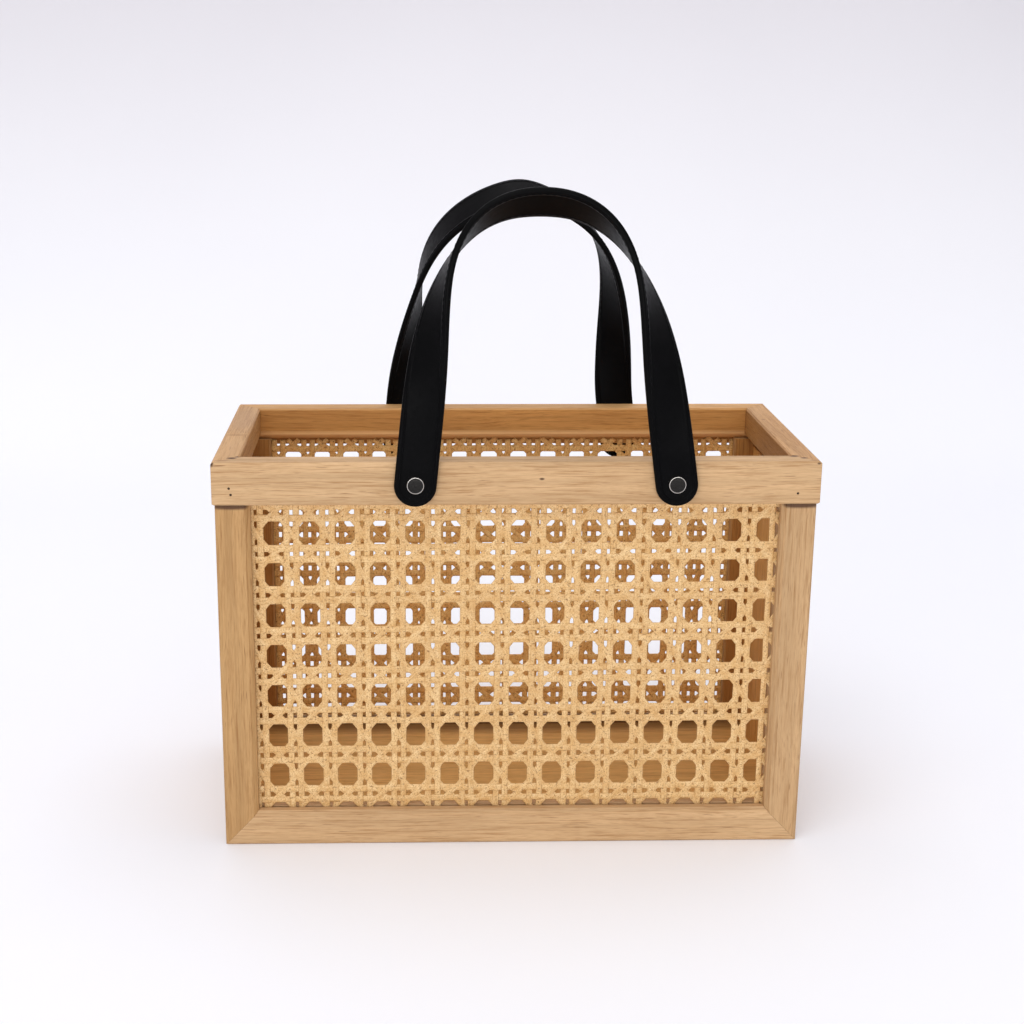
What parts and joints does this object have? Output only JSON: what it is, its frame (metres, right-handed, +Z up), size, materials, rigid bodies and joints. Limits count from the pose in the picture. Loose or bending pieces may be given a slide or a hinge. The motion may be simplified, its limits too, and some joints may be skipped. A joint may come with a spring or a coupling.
{
  "type": "basket box bag",
  "caption": "Small open-topped wooden box bag with a mitred rim, woven cane front and back panels, solid sides and two arched leather handles.",
  "frame": {"origin": "under the middle of the box, on the plane it stands on", "axes": "+X along the box's length, +Y from front to back, +Z up"},
  "size_m": [0.28, 0.138, 0.3157],
  "materials": {
    "oak": "planed oak, clear matt finish",
    "board": "thin board, clear matt finish",
    "cane": "natural woven cane, unlacquered",
    "black_leather": "smooth black with stitched edges",
    "nickel": "polished nickel",
    "pin_steel": "dull steel"
  },
  "bodies": {
    "root": {"rim_front_rail": "oak", "rim_back_rail": "oak", "rim_left_rail": "oak", "rim_right_rail": "oak", "front_left_stile": "oak", "front_right_stile": "oak", "front_bottom_rail": "oak", "back_left_stile": "oak", "back_right_stile": "oak", "back_bottom_rail": "oak", "left_side_board": "board", "right_side_board": "board", "bottom_board": "board", "front_cane_panel": "cane", "back_cane_panel": "cane", "front_handle_strap": "black_leather", "back_handle_strap": "black_leather", "front_left_handle_nail": "nickel", "front_right_handle_nail": "nickel", "back_left_handle_nail": "nickel", "back_right_handle_nail": "nickel", "front_left_upper_pin": "pin_steel", "front_left_lower_pin": "pin_steel", "front_right_pin": "pin_steel", "back_left_pin": "pin_steel", "back_right_pin": "pin_steel"}
  },
  "joints": []
}
